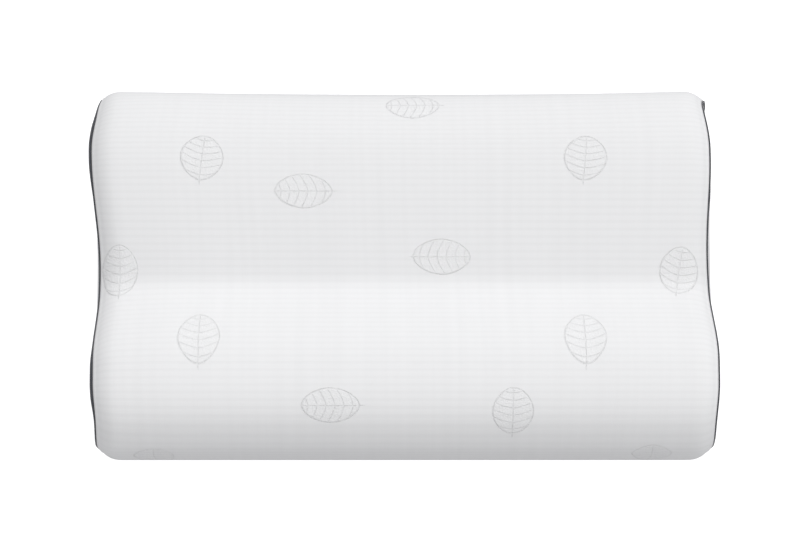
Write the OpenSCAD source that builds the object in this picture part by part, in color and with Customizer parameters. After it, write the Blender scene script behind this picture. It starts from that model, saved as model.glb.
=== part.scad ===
// Contour bed pillow: a moulded foam core in a thin liner, inside a zipped knit cover.
// X runs across the bed, Y from the neck edge (-Y) to the back edge (+Y), Z up.
// The origin is the middle of the base, on the mattress.

/* [Pillow] */
// Width across the bed, over the piping
pillow_w = 600; // [480:5:720]
// Depth from the neck edge to the back edge
pillow_d = 360; // [300:2:430]
// Height of the high lobe that goes under the neck
neck_lobe_h = 110; // [100:1:135]
// Height of the low lobe at the back
back_lobe_h = 92; // [86:1:115]
// Height of the hollow that holds the head
hollow_h = 60; // [54:1:72]
// Neck lobe's crest, measured in from the neck edge
neck_crest_in = 74; // [60:1:85]
// Lowest line of the hollow, measured in from the neck edge
hollow_in = 164; // [156:1:180]
// Low lobe's crest, measured in from the back edge
back_crest_in = 60; // [50:1:75]
// Height at which the neck edge bulges furthest
neck_belly_h = 52; // [44:1:60]
// Height at which the back edge bulges furthest
back_belly_h = 50; // [46:1:58]
// Radius of the lower neck edge
neck_edge_r = 22; // [18:1:30]
// Radius of the lower back edge
back_edge_r = 14; // [13.5:0.5:14]
// Radius that the cover rolls over towards each end
roll_r = 22; // [14:1:22]

/* [Cover and liner] */
// Thickness of the rib-knit cover
cover_t = 2; // [1.4:0.1:2.4]
// Thickness of the jersey liner
liner_t = 0.8; // [0.5:0.1:1.2]
// Room between one layer and the next
layer_gap = 0.4; // [0.3:0.05:0.5]

/* [Piping] */
// Diameter of the finished piping
piping_d = 3; // [2.4:0.1:4]
// Thickness of the piping tape
piping_tape_t = 0.6; // [0.4:0.05:0.7]
// Room round the cord inside its tape
cord_gap = 0.1; // [0.05:0.05:0.2]

/* [Zip] */
// Length of the zip from stop to stop
zip_len = 500; // [380:5:540]
// Height of the zip's centre line above the base
zip_z = 26; // [26:0.5:28]
// Opening between the two cover edges, where the chain shows
zip_gap = 10; // [9.4:0.1:12]
// Width of each tape
zip_tape_w = 9; // [8:0.5:9]
// Thickness of each tape
zip_tape_t = 0.6; // [0.4:0.05:0.8]
// Diameter of one row of the coil
coil_d = 2.2; // [1.8:0.1:2.4]
// Gap between the two rows
coil_split = 1.8; // [1.6:0.1:2.2]
// How far the zip sits in from the back edge's bulge
zip_setback = 4; // [3.8:0.1:6]

/* [Slider and pull] */
// Length of the slider along the chain
slider_len = 11; // [9:0.5:13]
// Width of the slider across the chain
slider_w = 8; // [7.6:0.1:8.4]
// Thickness of the slider's two plates
slider_plate_t = 1.1; // [0.9:0.1:1.2]
// Length of the pull from its pin to its tip
pull_len = 24; // [16:1:30]
// Width of the pull
pull_w = 6; // [5:0.5:7]
// Thickness of the pull
pull_t = 1.2; // [1:0.1:1.3]
// Diameter of the pin that the pull turns on
pin_d = 1.5; // [1.2:0.1:1.6]
// Room all round the pin in the pull's eye
pin_play = 0.08; // [0.03:0.01:0.1]

/* [Care label] */
// Length of the label along the end panel
label_l = 38; // [25:1:45]
// Height of the label
label_h = 26; // [18:1:30]

/* [Hidden] */
LEFT = -1;
RIGHT = 1;

// Clearances between pieces that are sewn or laid against each other
touch_gap = 0.1;
run_gap = 0.3;

// Lines of the profile
neck_y = -pillow_d / 2;
back_y = pillow_d / 2;
neck_crest = [neck_y + neck_crest_in, neck_lobe_h];
hollow = [neck_y + hollow_in, hollow_h];
back_crest = [back_y - back_crest_in, back_lobe_h];
zip_y = back_y - zip_setback;
zip_flat_top = zip_z + zip_gap / 2 + 7;

// Points on a stretch of ellipse, without its last one; a fullness above 2 squares its shoulders
function bulge(share, fullness) = sign(share) * pow(abs(share), 2 / fullness);
function curve(centre, ry, rz, from, to, n, fullness = 2) =
  [for (i = [0:n - 1]) let (a = from + (to - from) * i / n)
    centre + [ry * bulge(cos(a), fullness), rz * bulge(sin(a), fullness)]];

// How far up the side of a lobe is, from 0 in the hollow to 1 at the crest: fairly straight, then levelling off
VALLEY = 0.35; // share of roundness in the hollow
function lobe_rise(t) = VALLEY * (1 - cos(180 * t)) / 2 + (1 - VALLEY) * (4 * t - pow(t, 4)) / 3;

// Points along the side of a lobe, from its crest down into the hollow, without its last one
function lobe_side(crest, low, n) =
  [for (i = [0:n - 1]) [crest.x + (low.x - crest.x) * i / n, low.y + (crest.y - low.y) * lobe_rise(1 - i / n)]];
function backwards(points) = [for (i = [len(points) - 1:-1:1]) points[i]];

// Points that ease outwards as they rise, without the two ends
function swell(p, q, n) =
  [for (i = [1:n - 1]) [p.x + (q.x - p.x) * (1 - cos(180 * i / n)) / 2, p.y + (q.y - p.y) * i / n]];

// The outside of the pillow seen from its end, as [y, z], from the neck edge round under the base
NECK_FULLNESS = 2.25;
NECK_EDGE_N = 5;
BACK_EDGE_N = 4;
profile = concat(
  curve([neck_y + neck_edge_r, neck_edge_r], neck_edge_r, neck_edge_r, 180, 270, NECK_EDGE_N),
  [[neck_y + neck_edge_r, 0]],
  curve([zip_y - back_edge_r, back_edge_r], back_edge_r, back_edge_r, -90, 0, BACK_EDGE_N),
  [for (z = [back_edge_r, zip_z - zip_gap / 2, zip_z + zip_gap / 2, zip_flat_top]) [zip_y, z]],
  swell([zip_y, zip_flat_top], [back_y, back_belly_h], 3),
  curve([back_crest.x, back_belly_h], back_crest_in, back_lobe_h - back_belly_h, 0, 90, 8),
  lobe_side(back_crest, hollow, 8),
  [hollow],
  backwards(lobe_side(neck_crest, hollow, 7)),
  [neck_crest],
  [for (p = curve([neck_crest.x, neck_belly_h], neck_crest_in, neck_lobe_h - neck_belly_h, 90, 180, 9, NECK_FULLNESS))
    if (p != neck_crest) p],
  [[neck_y, neck_belly_h]]
);
POINTS = len(profile);
base_seam_i = 3;
zip_first_i = NECK_EDGE_N + 1 + BACK_EDGE_N;
zip_low_i = zip_first_i + 1;
zip_high_i = zip_first_i + 2;
zip_last_i = zip_first_i + 3;

// Outward direction at each profile point, long enough to keep offset edges parallel
function edge_normal(i) =
  let (d = profile[(i + 1) % POINTS] - profile[i % POINTS]) [d.y, -d.x] / norm(d);
normals = [for (i = [0:POINTS - 1])
  let (a = edge_normal(i + POINTS - 1), b = edge_normal(i)) (a + b) / (1 + a * b)];

// The roll at each end: [distance in from the end, depth below the profile], widest ring first
ROLL_STEPS = 3;
roll_deg = 55;
end_x = pillow_w / 2 - piping_d - touch_gap;
roll = [for (k = [0:ROLL_STEPS]) let (a = roll_deg * k / ROLL_STEPS)
  [roll_r * (sin(roll_deg) - sin(a)), roll_r * (1 - cos(a))]];
roll_depth = roll[ROLL_STEPS].y;
rings = concat(
  [for (k = [ROLL_STEPS:-1:0]) [LEFT, roll[k].x, roll[k].y]],
  [for (k = [0:ROLL_STEPS]) [RIGHT, roll[k].x, roll[k].y]]
);
RINGS = len(rings);

// Where the layers lie below the outside of the cover
liner_depth = cover_t + layer_gap;
foam_depth = liner_depth + liner_t + layer_gap;

// The zip's layers, by their place along Y
tape_mid_y = zip_y - cover_t - touch_gap - zip_tape_t / 2;
coil_room = coil_d / 2 + run_gap;
slider_in_y = tape_mid_y - coil_room - slider_plate_t;
slider_out_y = tape_mid_y + coil_room + slider_plate_t;
lug_r = pin_d / 2 + 0.7;
pin_y = slider_out_y + lug_r - 0.1;
row_z = coil_split / 2 + coil_d / 2;
stop_l = 3;
slider_x = zip_len / 2 - stop_l - run_gap - slider_len / 2;
pin_x = slider_x;

// How far the liner and the foam give way behind the zip
zip_press = zip_y - liner_depth - slider_in_y + run_gap;

// One point of a layer: on a ring, at a profile point, some way below the outside
function place(ring, i, depth, pull_in, press) =
  let (
    behind_zip = i >= zip_first_i && i <= zip_last_i ? press * (1 - ring[2] / roll_depth) : 0,
    p = profile[i] - normals[i] * (ring[2] + depth + behind_zip)
  )
  [ring[0] * (end_x - ring[1] - pull_in), p.x, p.y];

// The profile, some way below the outside, as a flat outline
function outline(depth) = [for (i = [0:POINTS - 1]) profile[i] - normals[i] * depth];

// Profile points from one to another, by number
function span(from, to) = [for (i = [from:to]) i];

// Two triangles between four corners, clockwise from outside
function quad(a, b, c, d) = [[a, b, c], [a, c, d]];

// A solid layer of cloth over a run of profile points, from depth down to depth + thick
module cloth(run, depth, thick, pull_in = 0, press = 0, closed = false) {
  n = len(run);
  cells = closed ? n - 1 : n - 2;
  corners = [
    for (level = [depth, depth + thick])
      for (ring = rings)
        for (i = run) place(ring, i, level, pull_in, press)
  ];
  function at(level, r, j) = (level * RINGS + r) * n + j % n;
  faces = concat(
    [for (r = [0:RINGS - 2]) for (j = [0:cells])
      each quad(at(0, r, j), at(0, r + 1, j), at(0, r + 1, j + 1), at(0, r, j + 1))],
    [for (r = [0:RINGS - 2]) for (j = [0:cells])
      each quad(at(1, r, j), at(1, r, j + 1), at(1, r + 1, j + 1), at(1, r + 1, j))],
    [for (j = [0:cells])
      each quad(at(0, 0, j), at(0, 0, j + 1), at(1, 0, j + 1), at(1, 0, j))],
    [for (j = [0:cells])
      each quad(at(0, RINGS - 1, j), at(1, RINGS - 1, j), at(1, RINGS - 1, j + 1), at(0, RINGS - 1, j + 1))],
    closed ? [] : [for (r = [0:RINGS - 2])
      each quad(at(0, r, 0), at(1, r, 0), at(1, r + 1, 0), at(0, r + 1, 0))],
    closed ? [] : [for (r = [0:RINGS - 2])
      each quad(at(0, r, n - 1), at(0, r + 1, n - 1), at(1, r + 1, n - 1), at(1, r, n - 1))]
  );
  polyhedron(corners, faces, convexity = 8);
}

// A solid that fills everything below a depth
module filling(depth, pull_in, press) {
  corners = [for (ring = rings) for (i = [0:POINTS - 1]) place(ring, i, depth, pull_in, press)];
  function at(r, j) = r * POINTS + j % POINTS;
  faces = concat(
    [for (r = [0:RINGS - 2]) for (j = [0:POINTS - 1])
      each quad(at(r, j), at(r + 1, j), at(r + 1, j + 1), at(r, j + 1))],
    [[for (j = [0:POINTS - 1]) at(0, j)]],
    [[for (j = [POINTS - 1:-1:0]) at(RINGS - 1, j)]]
  );
  polyhedron(corners, faces, convexity = 8);
}

// A section carried round the end seam; section points are [out along X, out along the profile]
module round_the_end(side, section, x, depth) {
  n = len(section);
  corners = [
    for (i = [0:POINTS - 1])
      for (s = section)
        let (p = profile[i] - normals[i] * (depth - s.y)) [side * (x + s.x), p.x, p.y]
  ];
  function at(i, j) = (i % POINTS) * n + j % n;
  faces = [
    for (i = [0:POINTS - 1])
      for (j = [0:n - 1])
        each side == RIGHT
          ? quad(at(i, j), at(i + 1, j), at(i + 1, j + 1), at(i, j + 1))
          : quad(at(i, j), at(i, j + 1), at(i + 1, j + 1), at(i + 1, j))
  ];
  polyhedron(corners, faces, convexity = 8);
}

// A flat panel in the shape of the profile, with its outer face at x
module end_plate(side, x, depth, thick) {
  translate([side == RIGHT ? x - thick : -x, 0, 0])
    rotate([90, 0, 90])
      linear_extrude(thick) polygon(outline(depth));
}

module foam_core() {
  color("#f2ecd9") filling(foam_depth, foam_depth, zip_press);
}

module liner_sleeve() {
  color("#e9e9e6")
    cloth(span(0, POINTS - 1), liner_depth, liner_t, liner_depth, zip_press, closed = true);
}

module liner_end(side) {
  color("#e9e9e6")
    end_plate(side, end_x - liner_depth, roll_depth + liner_depth + liner_t + touch_gap, liner_t);
}

module cover_top() {
  color("#f1f1f2")
    cloth(concat(span(zip_high_i, POINTS - 1), span(0, base_seam_i)), 0, cover_t);
}

module cover_base() {
  color("#ececee") cloth(span(base_seam_i, zip_low_i), 0, cover_t);
}

module end_panel(side) {
  color("#f1f1f2") end_plate(side, end_x, roll_depth + cover_t + touch_gap, cover_t);
}

// Tape folded round the cord, with its slit against the seam
piping_r = piping_d / 2;
piping_x = end_x + piping_r + touch_gap;
piping_depth = roll_depth + cover_t / 2;
SLIT_DEG = 8;
TAPE_SIDES = 8;
LINING_SIDES = 6;
cord_r = piping_r - piping_tape_t - cord_gap;
tape_section = concat(
  [for (k = [0:TAPE_SIDES]) let (a = 180 + SLIT_DEG + k * (360 - 2 * SLIT_DEG) / TAPE_SIDES)
    piping_r * [cos(a), sin(a)]],
  [for (k = [LINING_SIDES:-1:0]) let (a = 180 + 2 * SLIT_DEG + k * (360 - 4 * SLIT_DEG) / LINING_SIDES)
    (piping_r - piping_tape_t) * [cos(a), sin(a)]]
);
cord_section = [for (k = [0:LINING_SIDES - 1]) let (a = k * 360 / LINING_SIDES) cord_r * [cos(a), sin(a)]];

module piping_tape(side) {
  color("#4b4d54") round_the_end(side, tape_section, piping_x, piping_depth);
}

module piping_cord(side) {
  color("#d8d8d2") round_the_end(side, cord_section, piping_x, piping_depth);
}

// Cloth that closes the opening past each end of the zip
module zip_facing(side) {
  from = zip_len / 2 + touch_gap;
  color("#ececee") intersection() {
    cloth(span(zip_low_i, zip_high_i), 0, cover_t);
    translate([side == RIGHT ? from : -pillow_w, 0, 0]) cube([pillow_w - from, pillow_d, zip_flat_top]);
  }
}

// One strip of tape, up or down from the chain
module zip_tape(up) {
  from = row_z + coil_d / 2;
  color("#e6e6e8")
    translate([-zip_len / 2, tape_mid_y - zip_tape_t / 2, zip_z + (up > 0 ? from : -from - zip_tape_w)])
      cube([zip_len, zip_tape_t, zip_tape_w]);
}

// One row of the coil, as the round bead that its turns fill
module zip_coil(up) {
  color("#dcdcde")
    translate([-zip_len / 2 + stop_l + touch_gap, tape_mid_y, zip_z + up * row_z])
      rotate([0, 90, 0])
        cylinder(d = coil_d, h = zip_len - 2 * (stop_l + touch_gap), $fn = 24);
}

// A metal clip round the end of a row
module stop(x, height) {
  translate([x, tape_mid_y - coil_d / 2, zip_z - height / 2])
    cube([stop_l, coil_d, height]);
}

module zip_top_stops() {
  clip_h = coil_d;
  color("#b9bbc0")
    for (up = [-1, 1])
      translate([0, 0, up * row_z]) stop(zip_len / 2 - stop_l, clip_h);
}

module zip_bottom_stop() {
  color("#b9bbc0") stop(-zip_len / 2, 2 * (row_z + coil_d / 2));
}

// Two plates on a thin post, with lips that hold the rows and lugs for the pull's pin
lip_t = 0.7;
lip_h = coil_room - zip_tape_t / 2 - run_gap;
lug_t = 1;
pull_eye_w = slider_w - 2 * (lug_t + 0.9);
lug_z = pull_eye_w / 2 + 0.15;
corner_r = 1.6;

module slider_plate(y) {
  translate([slider_x, y, zip_z])
    rotate([-90, 0, 0])
      linear_extrude(slider_plate_t)
        union() {
          square([slider_len, slider_w - 2 * corner_r], center = true);
          square([slider_len - 2 * corner_r, slider_w], center = true);
          for (sx = [-1, 1]) for (sz = [-1, 1])
            translate([sx * (slider_len / 2 - corner_r), sz * (slider_w / 2 - corner_r)])
              circle(corner_r, $fn = 24);
        }
}

module slider_lips(y) {
  for (up = [-1, 1])
    translate([slider_x - slider_len / 2 + corner_r, y, zip_z + up * (slider_w - lip_t) / 2 - lip_t / 2])
      cube([slider_len - 2 * corner_r, lip_h, lip_t]);
}

module slider_lug(up) {
  z = zip_z + (up > 0 ? lug_z : -lug_z - lug_t);
  translate([pin_x, pin_y, z]) cylinder(r = lug_r, h = lug_t, $fn = 32);
  translate([pin_x - lug_r, slider_out_y - slider_plate_t / 2, z])
    cube([2 * lug_r, pin_y - slider_out_y + slider_plate_t / 2, lug_t]);
}

module zip_slider() {
  post_l = 3;
  post_w = coil_split - 2 * 0.4;
  color("#c6c8cc") union() {
    slider_plate(slider_in_y);
    slider_plate(slider_out_y - slider_plate_t);
    slider_lips(slider_in_y + slider_plate_t);
    slider_lips(slider_out_y - slider_plate_t - lip_h);
    translate([slider_x + slider_len / 2 - post_l, slider_in_y, zip_z - post_w / 2])
      cube([post_l, slider_out_y - slider_in_y, post_w]);
    slider_lug(1);
    slider_lug(-1);
    translate([pin_x, pin_y, zip_z - lug_z - lug_t])
      cylinder(d = pin_d, h = 2 * (lug_z + lug_t), $fn = 32);
  }
}

// The pull lies flat along the closed chain, away from the stops
module zip_pull() {
  eye_r = lug_r - 0.15;
  tip_r = pull_w / 2;
  hole_r = pull_w / 4;
  neck_x = pin_x - slider_len / 2 - tip_r;
  tip_x = pin_x - pull_len + tip_r;
  color("#c6c8cc") difference() {
    union() {
      translate([pin_x, pin_y, zip_z - pull_eye_w / 2]) cylinder(r = eye_r, h = pull_eye_w, $fn = 32);
      translate([neck_x, pin_y - pull_t / 2, zip_z - pull_eye_w / 2])
        cube([pin_x - neck_x, pull_t, pull_eye_w]);
      translate([tip_x, pin_y - pull_t / 2, zip_z - pull_w / 2])
        cube([neck_x - tip_x, pull_t, pull_w]);
      for (x = [neck_x, tip_x])
        translate([x, pin_y + pull_t / 2, zip_z])
          rotate([90, 0, 0]) cylinder(r = tip_r, h = pull_t, $fn = 32);
    }
    translate([pin_x, pin_y, zip_z - pull_w])
      cylinder(r = pin_d / 2 + pin_play, h = 2 * pull_w, $fn = 32);
    translate([tip_x, pin_y + pull_t, zip_z])
      rotate([90, 0, 0]) cylinder(r = hole_r, h = 2 * pull_t, $fn = 32);
  }
}

// A blank woven label, caught in the left end's seam at the back and lying on the end panel
module care_label() {
  label_t = 0.4;
  back = zip_y - piping_depth - piping_r - run_gap;
  color("#fafafa")
    translate([-end_x - touch_gap - label_t, back - label_l, back_belly_h - label_h / 2])
      cube([label_t, label_l, label_h]);
}

foam_core();
liner_sleeve();
liner_end(LEFT);  // liner_end_left
liner_end(RIGHT);  // liner_end_right
cover_top();
cover_base();
end_panel(LEFT);  // end_panel_left
end_panel(RIGHT);  // end_panel_right
piping_tape(LEFT);  // piping_tape_left
piping_tape(RIGHT);  // piping_tape_right
piping_cord(LEFT);  // piping_cord_left
piping_cord(RIGHT);  // piping_cord_right
zip_facing(LEFT);  // zip_facing_left
zip_facing(RIGHT);  // zip_facing_right
zip_tape(1);  // zip_tape_upper
zip_tape(-1);  // zip_tape_lower
zip_coil(1);  // zip_coil_upper
zip_coil(-1);  // zip_coil_lower
zip_top_stops();
zip_bottom_stop();
zip_slider();
zip_pull();
care_label();
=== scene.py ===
"""A contour bed pillow: wave-shaped foam in a thin liner, in a zipped rib-knit cover with piped ends."""

import math

import bpy
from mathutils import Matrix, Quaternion, Vector, noise
from mathutils.bvhtree import BVHTree


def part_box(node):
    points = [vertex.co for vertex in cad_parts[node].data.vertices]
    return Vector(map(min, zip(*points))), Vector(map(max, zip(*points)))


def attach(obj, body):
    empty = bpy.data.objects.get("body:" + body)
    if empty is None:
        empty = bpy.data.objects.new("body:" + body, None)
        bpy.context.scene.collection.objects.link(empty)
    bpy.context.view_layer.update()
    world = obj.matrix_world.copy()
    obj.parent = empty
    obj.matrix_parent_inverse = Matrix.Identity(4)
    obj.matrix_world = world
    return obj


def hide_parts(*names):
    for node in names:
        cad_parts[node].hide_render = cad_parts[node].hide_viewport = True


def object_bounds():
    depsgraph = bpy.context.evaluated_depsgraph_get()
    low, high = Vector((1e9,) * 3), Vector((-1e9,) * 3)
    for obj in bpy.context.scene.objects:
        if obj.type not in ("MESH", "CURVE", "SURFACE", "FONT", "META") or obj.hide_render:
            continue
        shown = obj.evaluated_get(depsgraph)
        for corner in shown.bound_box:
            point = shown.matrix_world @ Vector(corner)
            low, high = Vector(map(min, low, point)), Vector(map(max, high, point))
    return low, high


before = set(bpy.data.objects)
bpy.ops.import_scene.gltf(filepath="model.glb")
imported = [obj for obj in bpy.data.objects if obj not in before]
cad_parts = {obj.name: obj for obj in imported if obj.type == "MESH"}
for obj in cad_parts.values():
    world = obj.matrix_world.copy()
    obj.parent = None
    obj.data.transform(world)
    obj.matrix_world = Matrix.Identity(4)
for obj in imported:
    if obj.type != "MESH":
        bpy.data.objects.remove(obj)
cad_low, cad_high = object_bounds()

MM = 0.001
LEFT, RIGHT = -1, 1

# ---------------------------------------------------------------- sizes, in millimetres
NECK_Y, BACK_Y = cad_low.y / MM, cad_high.y / MM
NECK_LOBE_H = cad_high.z / MM
BACK_LOBE_H = 92
HOLLOW_H = 60
NECK_CREST_IN, HOLLOW_IN, BACK_CREST_IN = 74, 164, 60
NECK_FULLNESS = 2.25  # squares the shoulder of the neck lobe a little
VALLEY = 0.35  # share of roundness in the hollow
NECK_BELLY_H, BACK_BELLY_H = 52, 50
NECK_EDGE_R, BACK_EDGE_R = 22, 14
BASE_SEAM_TURN = 234  # where the cover's front seam sits on the lower neck edge, in degrees
COVER_T, LINER_T, LAYER_GAP = 2, 0.8, 0.4
PIPING_R = 0.9
FULLER = 0.65  # how much more the left piping's radius is, round both lobes
ROLL_DEG = 55
ROLL_R = {LEFT: 27, RIGHT: 22}  # the left end is stuffed a little softer, so it rolls over wider
SIDE_ROLL_R = 22
CROWN = {LEFT: 7, RIGHT: 2.5}
CROWN_SPAN = {LEFT: 90, RIGHT: 60}
CREASE_Y, CREASE_RISE, CREASE_HALF = -55, 0.5, 2.2
WAIST_Y, WAIST_IN, WAIST_HALF = 5, 5.7, 100  # the end seam's line seen from above
BACK_IN, FRONT_IN, FOOT_IN = 6, 3, 6
BACK_SAG = 5.5  # the back edge is drawn in at mid-width
ASKEW = -4  # the cloth has slipped this far to the left over the back lobe
WANDER = 0.35  # unevenness of cloth over foam

zip_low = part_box("zip_tape_lower")
zip_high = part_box("zip_tape_upper")
ZIP_Z = (zip_low[0].z + zip_high[1].z) / 2 / MM
ZIP_HALF = zip_high[1].x / MM
ZIP_SPLIT = 5  # from the chain's middle to each edge of the cover
ZIP_FLAT = 7  # the flat strip of cover beside the zip
ZIP_Y = BACK_Y - 4
END_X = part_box("end_panel_right")[1].x / MM


def smooth(low, high, value):
    """0 below low, 1 above high, and a soft step between."""
    t = min(max((value - low) / (high - low), 0), 1)
    return t * t * (3 - 2 * t)


# ---------------------------------------------------------------- the pillow seen from its end
def arc(y, z, ry, rz, start, end, step=3, fullness=2):
    """Points on a stretch of ellipse, without its last one; a fullness above 2 squares its shoulders."""
    def bulge(share):
        return math.copysign(abs(share) ** (2 / fullness), share)

    count = max(3, round(abs(math.radians(end - start)) * max(ry, rz) / step))
    turns = [math.radians(start + (end - start) * i / count) for i in range(count)]
    return [(y + ry * bulge(math.cos(a)), z + rz * bulge(math.sin(a))) for a in turns]


def lobe_side(low, crest, step=4):
    """Points up the side of a lobe from the hollow: fairly straight, then levelling off at the crest."""
    count = round(abs(crest[0] - low[0]) / step)
    points = []
    for t in [i / count for i in range(count + 1)]:
        rise = VALLEY * (1 - math.cos(math.pi * t)) / 2 + (1 - VALLEY) * (4 * t - t ** 4) / 3
        points.append((low[0] + (crest[0] - low[0]) * t, low[1] + (crest[1] - low[1]) * rise))
    return points


def straight(p, q, step=4):
    """Points on a straight stretch, without its last one."""
    count = max(1, round(math.dist(p, q) / step))
    return [(p[0] + (q[0] - p[0]) * i / count, p[1] + (q[1] - p[1]) * i / count) for i in range(count)]


neck_crest = (NECK_Y + NECK_CREST_IN, NECK_LOBE_H)
hollow = (NECK_Y + HOLLOW_IN, HOLLOW_H)
back_crest = (BACK_Y - BACK_CREST_IN, BACK_LOBE_H)
zip_top = ZIP_Z + ZIP_SPLIT
zip_bottom = ZIP_Z - ZIP_SPLIT
neck_edge_y = NECK_Y + NECK_EDGE_R
back_edge_y = ZIP_Y - BACK_EDGE_R

upper_run = (
    arc(neck_edge_y, NECK_EDGE_R, NECK_EDGE_R, NECK_EDGE_R, BASE_SEAM_TURN, 180)
    + straight((NECK_Y, NECK_EDGE_R), (NECK_Y, NECK_BELLY_H))
    + arc(neck_crest[0], NECK_BELLY_H, NECK_CREST_IN, NECK_LOBE_H - NECK_BELLY_H, 180, 90, 3, NECK_FULLNESS)
    + lobe_side(hollow, neck_crest)[:0:-1]
    + lobe_side(hollow, back_crest)[:-1]
    + arc(back_crest[0], BACK_BELLY_H, BACK_CREST_IN, BACK_LOBE_H - BACK_BELLY_H, 90, 0)
    + straight((BACK_Y, BACK_BELLY_H), (ZIP_Y, zip_top + ZIP_FLAT))
    + straight((ZIP_Y, zip_top + ZIP_FLAT), (ZIP_Y, zip_top), 2)
)
slit_run = straight((ZIP_Y, zip_top), (ZIP_Y, zip_bottom), 2.5)
lower_run = (
    straight((ZIP_Y, zip_bottom), (ZIP_Y, BACK_EDGE_R), 2)
    + arc(back_edge_y, BACK_EDGE_R, BACK_EDGE_R, BACK_EDGE_R, 0, -90, 2)
    + straight((back_edge_y, 0), (neck_edge_y, 0))
    + arc(neck_edge_y, NECK_EDGE_R, NECK_EDGE_R, NECK_EDGE_R, 270, BASE_SEAM_TURN)
)
outline = upper_run + slit_run + lower_run
POINTS = len(outline)
SOFTENING, SOFTENED_HALF = 3, 40  # passes that round the hollow's lowest line, and their reach


def softened(i):
    """An outline point, levelled with its neighbours if it is near the hollow's lowest line."""
    y, z = outline[i]
    if abs(y - hollow[0]) >= SOFTENED_HALF or z <= HOLLOW_H - 1:
        return y, z
    return y, (outline[i - 1][1] + z + outline[(i + 1) % POINTS][1]) / 3


for _ in range(SOFTENING):
    outline = [softened(i) for i in range(POINTS)]
UPPER = range(len(upper_run) + 1)
SLIT = range(len(upper_run), len(upper_run) + len(slit_run) + 1)
LOWER = [i % POINTS for i in range(len(upper_run) + len(slit_run), POINTS + 1)]


def outward(i):
    """The direction away from the foam at one outline point, in the end view."""
    (y0, z0), (y1, z1) = outline[i - 1], outline[(i + 1) % POINTS]
    length = math.hypot(y1 - y0, z1 - z0)
    return (z0 - z1) / length, (y1 - y0) / length


normals = [outward(i) for i in range(POINTS)]
girth = [0.0]
for i in range(POINTS):
    girth.append(girth[-1] + math.dist(outline[i], outline[(i + 1) % POINTS]))


def reach(y, z):
    """How far out the end seam sits: it is drawn in at the waist and round the corners."""
    waist = WAIST_IN * math.cos(min(abs(y - WAIST_Y) / WAIST_HALF, 1) * math.pi / 2) ** 2
    back = BACK_IN * smooth(112, BACK_Y, y)
    front = FRONT_IN * smooth(125, -NECK_Y, -y)
    foot = FOOT_IN * smooth(40, 2, z) * smooth(110, 165, abs(y))
    return END_X - waist - back - front - foot


reaches = [reach(*p) for p in outline]


def roll(inset, side, upward):
    """How far the cover lies below the mid-width outline, some way in from the end seam.

    upward is 1 on top of the pillow and 0 on its faces."""
    depth = CROWN[side] * max(0, upward) * max(0, 1 - inset / CROWN_SPAN[side]) ** 2
    radius = SIDE_ROLL_R + (ROLL_R[side] - SIDE_ROLL_R) * max(0, upward)
    run = math.sin(math.radians(ROLL_DEG))
    if inset < radius * run:
        depth += radius * (1 - math.cos(math.asin(run - inset / radius)))
    return depth


def ridge(inset):
    """The seam allowance folded under the cloth lifts a narrow ridge beside the piping."""
    return 0.45 * math.exp(-(((inset - 1.2) / 0.9) ** 2)) - 0.35 * math.exp(-(((inset - 3.6) / 1.2) ** 2))


def crease(x, y, z):
    """One soft fold, where the cloth is a little loose over the foot of the neck lobe."""
    line = CREASE_Y + 1.5 * math.sin(x / 40)
    stretch = smooth(-30, 5, x) * smooth(95, 60, x) * (z > HOLLOW_H - 5)
    return CREASE_RISE * math.exp(-(((y - line) / CREASE_HALF) ** 2)) * stretch


def skin(i, x, depth=0.0, press=0.0, ridged=True):
    """A point of a layer: at an outline point, at x along the width, some way below the outside.

    press is how far the foam gives way behind the zip, and ridged adds the ridge beside the piping."""
    i %= POINTS
    y, z = outline[i]
    ny, nz = normals[i]
    inset = END_X - abs(x)
    side = LEFT if x < 0 else RIGHT
    across = abs(x) * (reaches[i] - 60) / (END_X - 60) if inset > 60 else reaches[i] - inset
    down = roll(inset, side, nz) + depth - (ridge(inset) if ridged else 0) - crease(x, y, z)
    behind_zip = smooth(6, 14, z) * smooth(46, 38, z) * (y > 0)
    down += press * behind_zip * smooth(ZIP_HALF + 25, ZIP_HALF, abs(x))
    middle = max(0, 1 - (x / END_X) ** 2)
    sag = BACK_SAG * middle * smooth(90, 150, y) * smooth(40, 60, z)
    uneven = noise.noise(Vector((x / 90, y / 60 + 7, z / 60)))
    wander = WANDER * uneven * smooth(0, 30, inset) * smooth(45, 60, z)
    across -= depth * abs(x) / END_X
    askew = ASKEW * smooth(-60, 130, y) * smooth(34, 80, z)
    return Vector((side * across + askew, y - ny * down - sag, z - nz * down + wander)) * MM


# ---------------------------------------------------------------- meshes
def mesh_object(name, points, faces, body="pillow"):
    """A smooth-shaded mesh from its points and faces."""
    mesh = bpy.data.meshes.new(name)
    mesh.from_pydata([tuple(p) for p in points], [], faces)
    mesh.validate()
    made = bpy.data.objects.new(name, mesh)
    bpy.context.scene.collection.objects.link(made)
    for polygon in mesh.polygons:
        polygon.use_smooth = True
    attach(made, body)
    return made


def columns():
    """Where the cloth's points lie across the pillow, closer together by the end seams."""
    near = [0, 0.6, 1.2, 1.8, 2.6, 3.6, 4.6, 6, 8, 10.5, 13, 16, 19, 23, 28, 34, 41, 50, 60]
    middle = [END_X - 60 - 7.4 * k for k in range(1, 64) if 7.4 * k < 2 * (END_X - 60) - 4]
    return [END_X - d for d in near] + middle + [-(END_X - d) for d in reversed(near)]


def grid_faces(rows, across):
    """Quads between neighbouring points of a grid, wound to face outwards."""
    corners = [(r * across + c, (r + 1) * across + c) for r in range(rows - 1) for c in range(across - 1)]
    return [(a, b, b + 1, a + 1) for a, b in corners]


def stretch_uv(made, name, coordinates):
    """A UV map from one pair of numbers for each point."""
    layer = made.data.uv_layers.new(name=name)
    for loop in made.data.loops:
        layer.data[loop.index].uv = coordinates[loop.vertex_index]


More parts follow.
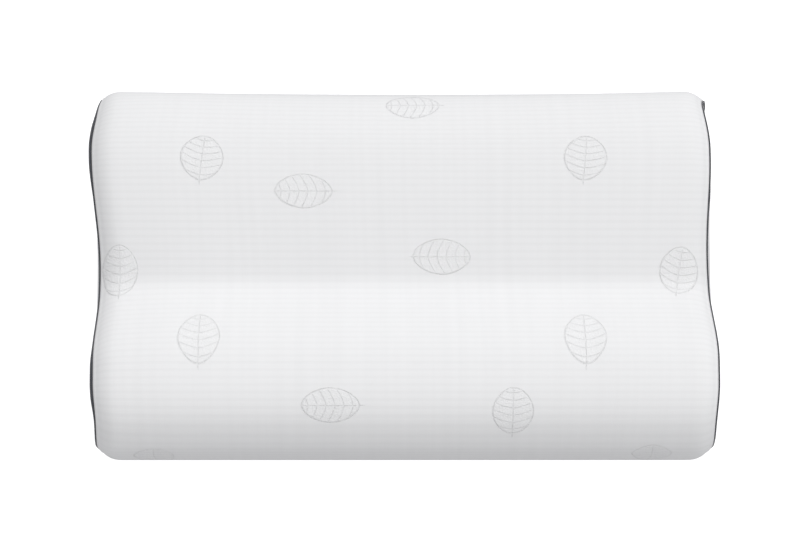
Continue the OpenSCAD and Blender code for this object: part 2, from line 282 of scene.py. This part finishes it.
def finish(made, modifier, **settings):
    """Adds one modifier and applies it."""
    added = made.modifiers.new("m", modifier)
    for key, value in settings.items():
        setattr(added, key, value)
    bpy.ops.object.select_all(action="DESELECT")
    made.select_set(True)
    bpy.context.view_layer.objects.active = made
    bpy.ops.object.modifier_apply(modifier=added.name)


rib_girth = [0.0]
for i in range(POINTS):
    y, z = outline[i]
    closer = 1 + 0.28 * smooth(60, 112, y) * smooth(50, 80, z)
    looser = 1 - 0.38 * smooth(-140, -172, y) * smooth(30, 60, z)
    rib_girth.append(rib_girth[-1] + math.dist(outline[i], outline[(i + 1) % POINTS]) * closer * looser)


def weld(made):
    """Joins points that lie on each other."""
    bpy.ops.object.select_all(action="DESELECT")
    made.select_set(True)
    bpy.context.view_layer.objects.active = made
    bpy.ops.object.mode_set(mode="EDIT")
    bpy.ops.mesh.select_all(action="SELECT")
    bpy.ops.mesh.remove_doubles(threshold=0.02 * MM)
    bpy.ops.object.mode_set(mode="OBJECT")


def cloth_sheet(name, run, depth, thick, press=0.0, xs=None):
    """A layer of cloth over a run of the outline, with its thickness inwards."""
    xs = xs or columns()
    run = list(run)
    points = [skin(i, x, depth, press) for i in run for x in xs]
    made = mesh_object(name, points, grid_faces(len(run), len(xs)))
    stretch_uv(made, "cloth", [(x * MM, girth[i] * MM) for i in run for x in xs])
    stretch_uv(made, "ribs", [(x * MM, rib_girth[i] * MM) for i in run for x in xs])
    weld(made)
    finish(made, "SOLIDIFY", thickness=thick * MM, offset=-1)
    return made


END_STEPS = [0, 0.02, 0.05, 0.1, 0.18, 0.3, 0.45, 0.62, 0.8, 1]  # shares of the way from seam to spine
SPINE_Z, SPINE_HALF, SPINE_STEP = 30, 132, 12
SPINE_IN = 3.5  # how far in from the end seam's own line the spine lies


def end_points(side, depth, out, crown):
    """Rings of points across an end, from the seam in to its spine, a line along its middle."""
    points = []
    for share in END_STEPS:
        for i in range(POINTS):
            edge = skin(i, side * END_X, depth, ridged=False) / MM
            spine_y = min(max(SPINE_STEP * round(edge.y / SPINE_STEP), -SPINE_HALF), SPINE_HALF)
            bulge = crown * (1 - (1 - share) ** 2.4)
            x = side * (abs(edge.x) + out) * (1 - share) + side * (END_X - SPINE_IN - depth) * share
            y = edge.y * (1 - share) + spine_y * share
            z = edge.z * (1 - share) + SPINE_Z * share
            points.append(Vector((x + side * bulge, y, z)) * MM)
    return points


def end_faces(side, first=0):
    """Quads between the rings of an end, facing out along the width."""
    faces = []
    for r in range(len(END_STEPS) - 1):
        for i in range(POINTS):
            a, b = first + r * POINTS + i, first + r * POINTS + (i + 1) % POINTS
            quad = (a, b, b + POINTS, a + POINTS)
            faces.append(quad if side == LEFT else quad[::-1])
    return faces


def end_sheet(name, side, depth, out, crown, thick):
    """A panel of cloth over one end; returns it, its flat cut's width and height, and its area."""
    points = end_points(side, depth, out, crown)
    made = mesh_object(name, points, end_faces(side))
    for uv_name in ("cloth", "ribs"):
        stretch_uv(made, uv_name, [(p.y, p.z) for p in points])
    weld(made)
    finish(made, "SOLIDIFY", thickness=thick * MM, offset=-1)
    seam = points[:POINTS]
    ys, zs = [p.y for p in seam], [p.z for p in seam]
    area = abs(sum(p.y * q.z - q.y * p.z for p, q in zip(seam, seam[1:] + seam[:1]))) / 2
    return made, (max(ys) - min(ys), max(zs) - min(zs)), area


def tube(name, path, radius, sides, body="pillow", closed=True, twist=0.0, ply=0.0):
    """A cord along a path; ply raises strands that wind round it, by twist radians to the metre."""
    count = len(path)
    points, place, run = [], [], 0.0
    for k, here in enumerate(path):
        ahead = path[(k + 1) % count] if closed or k < count - 1 else here
        behind = path[k - 1] if closed or k else here
        along = (ahead - behind).normalized()
        side = along.cross(Vector((1, 0, 0.001))).normalized()
        up = along.cross(side)
        for n in range(sides):
            turn = 2 * math.pi * n / sides
            size = radius(k) * (1 + ply * math.cos(3 * (turn - twist * run)))
            points.append(here + (side * math.cos(turn) + up * math.sin(turn)) * size * MM)
            place.append((run, n / sides))
        run += (ahead - here).length
    faces = []
    for k in range(count if closed else count - 1):
        for n in range(sides):
            a, b = k * sides + n, ((k + 1) % count) * sides + n
            c, d = ((k + 1) % count) * sides + (n + 1) % sides, k * sides + (n + 1) % sides
            faces.append((a, b, c, d))
    made = mesh_object(name, points, faces, body)
    stretch_uv(made, "cloth", place)
    return made


def dress(made, slot_name, *materials):
    """Gives a piece its materials."""
    made.data.materials.clear()
    for each in materials:
        made.data.materials.append(each)
    return made


# ---------------------------------------------------------------- materials
def linear(code):
    """An sRGB hex colour as the shader's linear colour."""
    parts = [int(code[k:k + 2], 16) / 255 for k in (1, 3, 5)]
    return [c / 12.92 if c <= 0.04045 else ((c + 0.055) / 1.055) ** 2.4 for c in parts] + [1.0]


def node(tree, kind, *inputs, **settings):
    """Adds a node: inputs fill its sockets in order, by value or by link, and None leaves one alone."""
    made = tree.nodes.new("ShaderNode" + kind)
    sockets = settings.pop("sockets", {})
    for key, value in settings.items():
        setattr(made, key, value)
    for key, value in [*enumerate(inputs), *sockets.items()]:
        if isinstance(value, bpy.types.Node):
            tree.links.new(value.outputs[0], made.inputs[key])
        elif isinstance(value, bpy.types.NodeSocket):
            tree.links.new(value, made.inputs[key])
        elif value is not None:
            made.inputs[key].default_value = value
    return made


def material(name, **shader):
    """A new material with its shader's constants set; returns it, its tree and the shader."""
    made = bpy.data.materials.new(name)
    made.use_nodes = True
    tree = made.node_tree
    bsdf = next(n for n in tree.nodes if n.type == "BSDF_PRINCIPLED")
    for key, value in shader.items():
        bsdf.inputs[key.replace("_", " ")].default_value = value
    return made, tree, bsdf


def band(tree, value, half, soft):
    """1 where value is within half of 0, falling to 0 over soft."""
    size = node(tree, "Math", value, operation="ABSOLUTE")
    return node(tree, "MapRange", size, half, half + soft, 1.0, 0.0, interpolation_type="SMOOTHSTEP")


def rib_knit(name, with_leaves):
    """Polyester rib double knit: matt and even, with a thin painted shade in each groove between its ribs,
    faint upright streaks, and leaves embossed by a change of stitch, with painted shade in their sunken
    lines and a painted highlight on their raised grain."""
    made, tree, bsdf = material(
        name, Roughness=0.8, Specular_IOR_Level=0.2, Sheen_Weight=0.08, Sheen_Roughness=0.6
    )
    rib_pitch = 7.15 * MM
    stitch = 1.5 * MM  # real stitches are near 0.9 mm: drawn coarser so that they show
    ribs = node(tree, "SeparateXYZ", node(tree, "UVMap", uv_map="ribs"))
    phase = node(tree, "Math", ribs.outputs[1], 1 / rib_pitch, operation="MULTIPLY")
    place = node(tree, "Math", node(tree, "Math", phase, operation="FRACT"), 0.5, operation="SUBTRACT")
    groove = band(tree, place, 0.08, 0.24)
    cloth = node(tree, "UVMap", uv_map="cloth")
    loops = node(tree, "Mapping", cloth, sockets={"Scale": (1 / stitch, 0.8 / stitch, 1)})
    cells = node(
        tree, "TexVoronoi", loops, sockets={"Scale": 1.0, "Randomness": 0.25}, voronoi_dimensions="2D"
    )
    streaks = node(tree, "Mapping", cloth, sockets={"Scale": (1 / (9 * MM), 1 / (400 * MM), 1)})
    streak = node(tree, "TexNoise", streaks, sockets={"Scale": 1.0, "Detail": 2.0}, noise_dimensions="2D")
    tint = node(tree, "MapRange", streak, 0.3, 0.7, 0.985, 1.0)
    # painted shade: the colour is 2% darker in each groove between the ribs, where shade would fall
    shade = node(tree, "MapRange", groove, 0.0, 1.0, 1.0, 0.98)
    value = node(tree, "Math", tint, shade, operation="MULTIPLY")
    height = node(tree, "MapRange", groove, 0.0, 1.0, 0.12, 0.0)
    height = node(tree, "Math", cells, 0.06, height, operation="MULTIPLY_ADD")
    if with_leaves:
        line, grain = leaf(tree)
        # painted shade and highlight: the sunken leaf lines are 5% darker in colour and the raised grain up
        # to 3% lighter
        darker = node(tree, "MapRange", line, 0.0, 1.0, 1.0, 0.95)
        lighter = node(tree, "MapRange", grain, 0.42, 0.62, 1.0, 1.03)
        value = node(tree, "Math", value, darker, operation="MULTIPLY")
        value = node(tree, "Math", value, lighter, operation="MULTIPLY")
        height = node(tree, "Math", line, -0.9, height, operation="MULTIPLY_ADD")
        height = node(tree, "Math", grain, 0.9, height, operation="MULTIPLY_ADD")
    tone = node(
        tree, "Mix", data_type="RGBA", blend_type="MULTIPLY", sockets={0: 1.0, 6: linear("#EEEEEF")}
    )
    tree.links.new(value.outputs[0], tone.inputs[7])
    tree.links.new(tone.outputs[2], bsdf.inputs["Base Color"])
    relief = node(tree, "Bump", sockets={"Height": height, "Distance": 0.5 * MM, "Strength": 1.0})
    tree.links.new(relief.outputs[0], bsdf.inputs["Normal"])
    return made


def leaf(tree):
    """One embossed leaf in the leaf UV map, where its outline is a round of radius 1.

    Returns its lines, and its grain: masks for the relief, and for its painted shade and painted highlight."""
    local = node(tree, "SeparateXYZ", node(tree, "UVMap", uv_map="leaf"))
    across = node(tree, "Math", local.outputs[0], operation="ABSOLUTE")
    along = local.outputs[1]
    squareness = 1.8  # below 2, so that the round comes to a slight point
    power_a = node(tree, "Math", across, squareness, operation="POWER")
    length = node(tree, "Math", along, operation="ABSOLUTE")
    power_b = node(tree, "Math", length, squareness, operation="POWER")
    both = node(tree, "Math", power_a, power_b, operation="ADD")
    size = node(tree, "Math", both, 1 / squareness, operation="POWER")
    rim = band(tree, node(tree, "Math", size, 1.0, operation="SUBTRACT"), 0.008, 0.032)
    inside = node(tree, "MapRange", size, 0.93, 0.97, 1.0, 0.0)
    bow = node(tree, "Math", across, 1.6, operation="POWER")
    rise = node(tree, "Math", bow, -0.28, along, operation="MULTIPLY_ADD")
    veins = node(tree, "Math", node(tree, "Math", rise, 3.2, operation="MULTIPLY"), operation="FRACT")
    veins = band(tree, node(tree, "Math", veins, 0.5, operation="SUBTRACT"), 0.02, 0.07)
    rib = band(tree, local.outputs[0], 0.008, 0.03)
    drawn = node(tree, "Math", veins, rib, operation="MAXIMUM")
    inner = node(tree, "Math", drawn, inside, operation="MULTIPLY")
    stem_place = band(tree, node(tree, "Math", along, 1.06, operation="ADD"), 0.12, 0.02)
    stem = node(tree, "Math", rib, stem_place, operation="MULTIPLY")
    lines = node(tree, "Math", rim, inner, operation="MAXIMUM")
    lines = node(tree, "Math", lines, stem, operation="MAXIMUM")
    cloth = node(tree, "UVMap", uv_map="cloth")
    grit = node(tree, "TexNoise", cloth, sockets={"Scale": 620.0, "Detail": 1.0}, noise_dimensions="2D")
    broken = node(tree, "MapRange", grit, 0.38, 0.56, 0.15, 1.0)
    lines = node(tree, "Math", lines, broken, operation="MULTIPLY")
    grain = node(tree, "Math", grit, inside, operation="MULTIPLY")
    return lines, grain


def woven(name, code, pitch, rough, sheen, lift=0.15, slant=0.0):
    """A woven narrow fabric: fine crossing threads, with their pitch in millimetres."""
    colour = linear(code)
    made, tree, bsdf = material(
        name, Base_Color=colour, Roughness=rough, Sheen_Weight=sheen, Specular_IOR_Level=0.4
    )
    turned = node(tree, "Mapping", node(tree, "UVMap", uv_map="cloth"), sockets={"Rotation": (0, 0, slant)})
    bands = 0.314 / (pitch * MM)  # at a scale of 1 the wave texture has a band every 0.314 m
    threads = node(tree, "TexWave", turned, sockets={"Scale": bands, "Distortion": 0.6, "Detail": 1.0})
    fibres = node(tree, "TexNoise", turned, sockets={"Scale": 0.6 / (pitch * MM), "Detail": 3.0})
    mottle = node(tree, "Math", threads, fibres, operation="MULTIPLY")
    tint = node(tree, "MapRange", mottle, 0.0, 0.7, 0.8, 1.08)
    tone = node(tree, "Mix", data_type="RGBA", blend_type="MULTIPLY", sockets={0: 1.0, 6: colour})
    tree.links.new(tint.outputs[0], tone.inputs[7])
    tree.links.new(tone.outputs[2], bsdf.inputs["Base Color"])
    relief = node(tree, "Bump", sockets={"Height": threads, "Distance": lift * MM, "Strength": 1.0})
    tree.links.new(relief.outputs[0], bsdf.inputs["Normal"])
    return made


def pored_foam(name):
    """Open-cell viscoelastic foam: cream and matt, with fine pores painted darker inside as shade, and a
    skin that is darker in patches.
    """
    made, tree, bsdf = material(name, Roughness=0.9, Specular_IOR_Level=0.2)
    place = node(tree, "TexCoord").outputs["Object"]
    pores = node(tree, "TexVoronoi", place, sockets={"Scale": 1 / (1.6 * MM)})
    patches = node(tree, "TexNoise", place, sockets={"Scale": 14.0, "Detail": 3.0})
    # painted shade: the colour darkens to 0.86 towards each pore's centre, where the pits are deepest
    depth = node(tree, "MapRange", pores, 0.0, 0.5, 0.86, 1.0)
    patch = node(tree, "MapRange", patches, 0.3, 0.7, 0.95, 1.0)
    tint = node(tree, "Math", depth, patch, operation="MULTIPLY")
    tone = node(
        tree, "Mix", data_type="RGBA", blend_type="MULTIPLY", sockets={0: 1.0, 6: linear("#F2EAD2")}
    )
    tree.links.new(tint.outputs[0], tone.inputs[7])
    tree.links.new(tone.outputs[2], bsdf.inputs["Base Color"])
    relief = node(tree, "Bump", sockets={"Height": pores, "Distance": 0.3 * MM, "Strength": 1.0})
    tree.links.new(relief.outputs[0], bsdf.inputs["Normal"])
    return made


def nickel(name):
    """Nickel-plated die-cast zinc: a warm grey mirror, softened by tumbling and hazed by fine scratches."""
    made, tree, bsdf = material(name, Base_Color=linear("#C6C5C1"), Metallic=1.0)
    place = node(tree, "TexCoord").outputs["Object"]
    haze = node(tree, "TexNoise", place, sockets={"Scale": 1 / (1.2 * MM), "Detail": 4.0})
    tree.links.new(node(tree, "MapRange", haze, 0.3, 0.7, 0.2, 0.36).outputs[0], bsdf.inputs["Roughness"])
    relief = node(tree, "Bump", sockets={"Height": haze, "Distance": 0.03 * MM, "Strength": 1.0})
    tree.links.new(relief.outputs[0], bsdf.inputs["Normal"])
    return made


def moulded_nylon(name):
    """Polyester monofilament, wound and heat-set: milky, slightly glossy, uneven along its length."""
    made, tree, bsdf = material(name, Roughness=0.38, Subsurface_Weight=0.15, Subsurface_Scale=0.0006)
    place = node(tree, "TexCoord").outputs["Object"]
    cloud = node(tree, "TexNoise", place, sockets={"Scale": 1 / (6 * MM), "Detail": 2.0})
    tone = node(tree, "Mix", cloud, data_type="RGBA", sockets={6: linear("#DFE0E3"), 7: linear("#EDEEF0")})
    tree.links.new(tone.outputs[2], bsdf.inputs["Base Color"])
    return made


knit_leaves = rib_knit("rib_knit_with_leaves", True)
knit_plain = rib_knit("rib_knit", False)
satin = woven("charcoal_bias_satin", "#3D3F46", 0.5, 0.33, 0.5, 0.08, slant=0.8)
cotton = woven("natural_cotton_cord", "#D9D6CC", 0.4, 0.85, 0.2)
tape_weave = woven("white_zip_tape", "#E4E5E8", 0.6, 0.7, 0.2, slant=0.75)
label_weave = woven("white_label_satin", "#F4F4F5", 0.35, 0.4, 0.1, 0.05)
jersey = woven("liner_jersey", "#E6E6E2", 1.2, 0.9, 0.2, 0.2)
thread = woven("white_thread", "#F0F0F1", 0.3, 0.6, 0.3, 0.05, slant=0.5)
foam_skin = pored_foam("cream_memory_foam")
plated = nickel("nickel_plated_zinc")
filament = moulded_nylon("white_polyester_coil")


# ---------------------------------------------------------------- the cover
# Leaves on the upper panel: across the pillow, along the cloth from the front seam, turn in degrees,
# half width and half length. Turned by 0 a leaf points to the back edge, by 90 to the left end.
LEAVES = [
    (-191, 382, -9, 20.5, 22.5),
    (-95, 349, 90, 16.3, 27.5),
    (177, 382, -5, 20.5, 22.5),
    (12, 445, 90, 17, 26),
    (-278, 273, 0, 17, 24),
    (37, 286, -90, 17, 28),
    (269, 272, -11, 18.5, 23.5),
    (-197, 185, 0, 20, 31),
    (171, 185, 0, 20, 31),
    (-72, 114, 90, 16.8, 27.5),
    (102, 108, 0, 19.5, 23),
    (-243, 35, 0, 19, 24),
    (238, 44, 0, 19, 24),
]


def nearest_leaf(x, run):
    """The leaf that is closest to a point of cloth."""
    return min(LEAVES, key=lambda spot: math.hypot(x - spot[0], run - spot[1]))


def map_leaves(made):
    """A UV map in which every leaf is the same: each face takes its nearest leaf's own frame."""
    cloth = made.data.uv_layers["cloth"].data
    layer = made.data.uv_layers.new(name="leaf").data
    for polygon in made.data.polygons:
        loops = polygon.loop_indices
        x = sum(cloth[k].uv.x for k in loops) / len(loops) / MM
        run = sum(cloth[k].uv.y for k in loops) / len(loops) / MM
        spot = nearest_leaf(x, run)
        turn = math.radians(spot[2])
        for k in loops:
            dx, dy = cloth[k].uv.x / MM - spot[0], cloth[k].uv.y / MM - spot[1]
            local_x = dx * math.cos(turn) + dy * math.sin(turn)
            local_y = dy * math.cos(turn) - dx * math.sin(turn)
            layer[k].uv = (local_x / spot[3], local_y / spot[4])


cover_top = cloth_sheet("upper_cover", UPPER, 0, COVER_T)
map_leaves(cover_top)
dress(cover_top, "cover_knit", knit_leaves)
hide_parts("cover_top")

cover_base = cloth_sheet("base_cover", LOWER, 0, COVER_T)
dress(cover_base, "cover_knit", knit_plain)
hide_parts("cover_base")

for side, name in ((LEFT, "left"), (RIGHT, "right")):
    start = ZIP_HALF + 0.8 + END_X - min(reaches[i] for i in SLIT)  # clear of the slider's run
    edge = [x for x in columns() if x * side > start + 3] + [side * start]
    facing = cloth_sheet(f"zip_facing_cloth_{name}", SLIT, 0.3, COVER_T, xs=sorted(edge, reverse=True))
    dress(facing, "cover_knit", knit_plain)
    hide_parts(f"zip_facing_{name}")
    panel, flat, area = end_sheet(f"end_cover_{name}", side, COVER_T + 0.2, 1.9, 4, COVER_T)
    dress(panel, "cover_knit", knit_plain)
    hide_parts(f"end_panel_{name}")


# ---------------------------------------------------------------- the piping
def seam_path(side, out, down):
    """The line of the piping round one end."""
    points = []
    for i in range(POINTS):
        edge = skin(i, side * END_X, down, ridged=False)
        points.append(edge + Vector((side * (down + out(i)), 0, 0)) * MM)
    return points


def fuller(i, side):
    """The left piping stands out more, round both lobes."""
    y = outline[i][0]
    lobes = smooth(60, 100, y) + smooth(70, 110, -y)
    return (side == LEFT) * FULLER * lobes * smooth(174, 140, abs(y))


for side, name in ((LEFT, "left"), (RIGHT, "right")):
    def pucker(i):
        return (PIPING_R + fuller(i, side)) * (1 + 0.05 * noise.noise(Vector((i * 0.35, 0, 0))))

    path = seam_path(side, lambda i: 0.6 + fuller(i, side), 1.3)
    tape = tube(f"bias_tape_{name}", path, pucker, 14)
    finish(tape, "SOLIDIFY", thickness=0.2 * MM, offset=-1)
    dress(tape, "piping_satin", satin)
    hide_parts(f"piping_tape_{name}")
    cord = tube(f"filler_cord_{name}", path, lambda i: 0.42, 12, twist=900, ply=0.12)
    dress(cord, "piping_cord", cotton)
    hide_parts(f"piping_cord_{name}")


# ---------------------------------------------------------------- foam and liner
PRESS = 5  # how far the foam and the liner give way behind the zip
foam_depth = COVER_T + LINER_T + 2 * LAYER_GAP
xs = columns()
rows = range(POINTS + 1)
around = [skin(i, x, foam_depth, PRESS, ridged=False) for i in rows for x in xs]
points = around + end_points(RIGHT, foam_depth, 0, 1.5) + end_points(LEFT, foam_depth, 0, 1.5)
first = len(around)
faces = grid_faces(len(rows), len(xs)) + end_faces(RIGHT, first)
faces += end_faces(LEFT, first + POINTS * len(END_STEPS))
foam = mesh_object("foam", points, faces)
weld(foam)
dress(foam, "foam", foam_skin)
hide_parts("foam_core")

liner_depth = COVER_T + LAYER_GAP
sleeve = cloth_sheet("liner_tube", rows, liner_depth, LINER_T, PRESS)
dress(sleeve, "liner_jersey", jersey)
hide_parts("liner_sleeve")
for side, name in ((LEFT, "left"), (RIGHT, "right")):
    end_name = f"liner_end_cloth_{name}"
    liner_end, flat, area = end_sheet(end_name, side, liner_depth + LINER_T, 0.2, 2, LINER_T)
    dress(liner_end, "liner_jersey", jersey)
    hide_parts(f"liner_end_{name}")


# ---------------------------------------------------------------- the zip
def flat_tape(name, low, high, body="pillow"):
    """A woven tape in a CAD box: a fine grid, thickened, with softened edges."""
    across = [low.x + (high.x - low.x) * k / 160 for k in range(161)]
    up = [low.z + (high.z - low.z) * k / 6 for k in range(7)]
    middle = high.y
    points = [Vector((x, middle, z)) for z in reversed(up) for x in reversed(across)]
    made = mesh_object(name, points, grid_faces(len(up), len(across)), body)
    stretch_uv(made, "cloth", [(p.x, p.z) for p in points])
    finish(made, "SOLIDIFY", thickness=high.y - low.y, offset=-1)
    finish(made, "BEVEL", width=0.12 * MM, segments=2)
    return made


TURN_PITCH = 1.6  # one tooth of the coil
TURN_POINTS = 9


def coil(name, low, high, lean):
    """A row of the zip: a monofilament wound into flattened turns that lean into the other row."""
    radius = (high.z - low.z) / 2 / MM
    wire = 0.33
    centre = (low + high) / 2 / MM
    count = int((high.x - low.x) / MM / TURN_PITCH)
    path = []
    for k in range(count * TURN_POINTS + 1):
        turn = 2 * math.pi * k / TURN_POINTS
        x = low.x / MM + wire + TURN_PITCH * k / TURN_POINTS
        reach_out = (radius - wire) * math.cos(turn)
        y = centre.y + (radius - wire) * 0.8 * math.sin(turn)
        path.append(Vector((x, y, centre.z + lean * reach_out)) * MM)
    return tube(name, path, lambda k: wire, 5, closed=False)


for name, lean in (("upper", 1), ("lower", -1)):
    tape = flat_tape(f"tape_{name}", *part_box(f"zip_tape_{name}"))
    dress(tape, "zip_tape", tape_weave)
    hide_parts(f"zip_tape_{name}")
    row = coil(f"coil_{name}", *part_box(f"zip_coil_{name}"), lean)
    dress(row, "zip_coil", filament)
    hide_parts(f"zip_coil_{name}")

for name in ("zip_top_stops", "zip_bottom_stop", "zip_slider", "zip_pull"):
    dress(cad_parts[name], "zip_metal", plated)


# ---------------------------------------------------------------- stitches and label
def stitches(name, places, length, width):
    """A row of stitches, each a small rounded bead copied from one; places are (centre, along, out)."""
    bpy.ops.object.select_all(action="DESELECT")
    bpy.ops.mesh.primitive_uv_sphere_add(segments=6, ring_count=4, radius=1)
    bead = bpy.context.active_object
    shape = [v.co.copy() for v in bead.data.vertices]
    sides = [tuple(p.vertices) for p in bead.data.polygons]
    bpy.data.objects.remove(bead)
    points, faces = [], []
    for centre, along, out in places:
        start = len(points)
        across = along.cross(out)
        for v in shape:
            offset = along * v.z * length / 2 + across * v.x * width / 2 + out * v.y * width / 2
            points.append(centre + offset * MM)
        faces += [tuple(start + k for k in side) for side in sides]
    made = mesh_object(name, points, faces)
    stretch_uv(made, "cloth", [(p.x, p.z) for p in points])
    return made


STITCH_PITCH, STITCH_LENGTH, STITCH_WIDTH = 3.4, 2.7, 0.45
HEM = 3  # from the cover's edge to its row of stitches

for name, height in (("upper", zip_top + HEM), ("lower", zip_bottom - HEM)):
    spots = [x * STITCH_PITCH for x in range(-72, 73)]
    row = [(Vector((x, ZIP_Y, height)) * MM, Vector((1, 0, 0)), Vector((0, 1, 0))) for x in spots]
    hem = stitches(f"hem_stitches_{name}", row, STITCH_LENGTH, STITCH_WIDTH)
    dress(hem, "cover_knit", thread)

label_low, label_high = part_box("care_label")
panel_tree = BVHTree.FromObject(bpy.data.objects["end_cover_left"], bpy.context.evaluated_depsgraph_get())
LABEL_ROWS, LABEL_COLUMNS = 15, 21
label_points = []
for r in range(LABEL_ROWS):
    for c in range(LABEL_COLUMNS):
        y = label_low.y + (label_high.y - label_low.y) * r / (LABEL_ROWS - 1)
        z = label_low.z + (label_high.z - label_low.z) * c / (LABEL_COLUMNS - 1)
        hit = panel_tree.ray_cast(Vector((-0.4, y, z)), Vector((1, 0, 0)))[0]
        free = 1 - r / (LABEL_ROWS - 1)  # 1 at the loose edge, 0 where it is sewn down
        surface = hit.x if hit else -(END_X - 8) * MM
        x = surface - (0.6 + 0.8 * free ** 2 + 0.3 * math.sin(c / 3.2) * free) * MM
        label_points.append(Vector((x, y, z)))
label_faces = [face[::-1] for face in grid_faces(LABEL_ROWS, LABEL_COLUMNS)]
label = mesh_object("care_label_cloth", label_points, label_faces)
stretch_uv(label, "cloth", [(p.y, p.z) for p in label_points])
finish(label, "SOLIDIFY", thickness=0.35 * MM, offset=0)
dress(label, "label_satin", label_weave)
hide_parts("care_label")


# ---------------------------------------------------------------- floor, light and camera
def floor_sweep():
    """A plain white floor that is lit evenly, as on a light table, so that it reads as white all round."""
    bpy.ops.object.select_all(action="DESELECT")
    bpy.ops.mesh.primitive_plane_add(size=24)
    floor = bpy.context.active_object
    floor.name = "floor"
    paint, tree, bsdf = material("white_light_table", Base_Color=linear("#B4B4B6"), Roughness=0.9)
    glow = node(tree, "Emission", sockets={"Color": (1, 1, 1, 1), "Strength": 0.9})
    both = node(tree, "AddShader", bsdf, glow)
    seen = node(tree, "MixShader", node(tree, "LightPath").outputs["Is Camera Ray"], bsdf, both)
    out = next(n for n in tree.nodes if n.type == "OUTPUT_MATERIAL")
    tree.links.new(seen.outputs[0], out.inputs["Surface"])
    floor.data.materials.append(paint)


floor_sweep()

world = bpy.data.worlds.new("soft_room")
world.use_nodes = True
bpy.context.scene.world = world
background = world.node_tree.nodes["Background"]
background.inputs["Color"].default_value = (0.992, 0.996, 1.0, 1)
background.inputs["Strength"].default_value = 0.49


def softbox(name, energy, wide, back, right):
    """A far soft light, leaning from overhead by so many degrees towards the back and the right."""
    data = bpy.data.lights.new(name, "SUN")
    data.energy = energy
    data.angle = math.radians(wide)
    light = bpy.data.objects.new(name, data)
    bpy.context.scene.collection.objects.link(light)
    toward = Vector((math.tan(math.radians(right)), math.tan(math.radians(back)), 1))
    light.rotation_euler = toward.to_track_quat("Z", "Y").to_euler()


softbox("key_softbox", 1.35, 30, 41, 0)
softbox("side_softbox", 0.68, 30, 0, 50)
softbox("low_front_fill", 0.48, 30, -70, 0)

bpy.context.scene.view_settings.view_transform = "Standard"

CAMERA_AWAY = 6.0
CAMERA_TURN, CAMERA_TILT, CAMERA_ROLL = -3, 74, 2.9
turn, tilt = math.radians(CAMERA_TURN), math.radians(CAMERA_TILT)
looking = Vector((math.sin(turn) * math.cos(tilt), -math.cos(turn) * math.cos(tilt), math.sin(tilt)))
target = Vector((-4.3, 4, 50)) * MM
camera_data = bpy.data.cameras.new("camera")
camera_data.lens = 281
camera_data.clip_end = 50
camera = bpy.data.objects.new("camera", camera_data)
bpy.context.scene.collection.objects.link(camera)
camera.location = target + looking * CAMERA_AWAY
level = Quaternion((0, 0, 1), math.radians(CAMERA_ROLL))
camera.rotation_euler = (looking.to_track_quat("Z", "Y") @ level).to_euler()
bpy.context.scene.camera = camera
